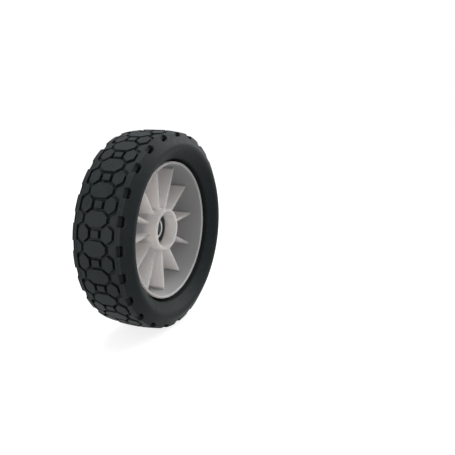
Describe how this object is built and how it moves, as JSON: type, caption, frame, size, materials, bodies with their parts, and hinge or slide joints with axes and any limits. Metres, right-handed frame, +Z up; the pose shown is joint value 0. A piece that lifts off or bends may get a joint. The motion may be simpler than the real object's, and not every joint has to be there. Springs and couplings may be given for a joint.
{
  "type": "lawn mower wheel",
  "caption": "Small mower wheel: solid block-tread rubber tyre on a ribbed white plastic hub, which turns on sealed ball bearings with proud inner rings.",
  "frame": {"origin": "on the axle's axis, in the middle plane of the tyre", "axes": "+Y along the axle, out of the smooth disc; the ribbed side faces -Y; +Z up as in the picture"},
  "size_m": [0.18, 0.0642, 0.18],
  "materials": {
    "tyre_rubber": "moulded, matt",
    "hub_plastic": "moulded, satin",
    "outer_ring_steel": "ground",
    "inner_ring_steel": "ground, bright",
    "spacer_steel": "drawn tube",
    "ball_steel": "polished",
    "cage_plastic": "moulded",
    "seal_rubber": "moulded, matt"
  },
  "bodies": {
    "axle_set": {"inboard_inner_ring": "inner_ring_steel", "bearing_spacer": "spacer_steel", "outboard_inner_ring": "inner_ring_steel"},
    "wheel": {"tyre": "tyre_rubber", "wheel_hub": "hub_plastic", "inboard_outer_ring": "outer_ring_steel", "inboard_outward_seal": "seal_rubber", "inboard_inward_seal": "seal_rubber", "outboard_outer_ring": "outer_ring_steel", "outboard_outward_seal": "seal_rubber", "outboard_inward_seal": "seal_rubber"},
    "inboard_ball_set": {"inboard_cage": "cage_plastic", "inboard_ball_1": "ball_steel", "inboard_ball_2": "ball_steel", "inboard_ball_3": "ball_steel", "inboard_ball_4": "ball_steel", "inboard_ball_5": "ball_steel", "inboard_ball_6": "ball_steel", "inboard_ball_7": "ball_steel", "inboard_ball_8": "ball_steel"},
    "outboard_ball_set": {"outboard_cage": "cage_plastic", "outboard_ball_1": "ball_steel", "outboard_ball_2": "ball_steel", "outboard_ball_3": "ball_steel", "outboard_ball_4": "ball_steel", "outboard_ball_5": "ball_steel", "outboard_ball_6": "ball_steel", "outboard_ball_7": "ball_steel", "outboard_ball_8": "ball_steel"}
  },
  "joints": [
    {"name": "wheel_spin", "type": "hinge", "parent": "axle_set", "child": "wheel", "pos_m": [0, 0, 0], "axis": [0, 1, 0], "continuous": true},
    {"name": "inboard_cage_spin", "type": "hinge", "parent": "axle_set", "child": "inboard_ball_set", "pos_m": [0, 0, 0], "axis": [0, 1, 0], "continuous": true},
    {"name": "outboard_cage_spin", "type": "hinge", "parent": "axle_set", "child": "outboard_ball_set", "pos_m": [0, 0, 0], "axis": [0, 1, 0], "continuous": true}
  ],
  "couplings": [
    {"joint": "inboard_cage_spin", "follows": "wheel_spin", "ratio": 0.61906},
    {"joint": "outboard_cage_spin", "follows": "wheel_spin", "ratio": 0.61906}
  ]
}
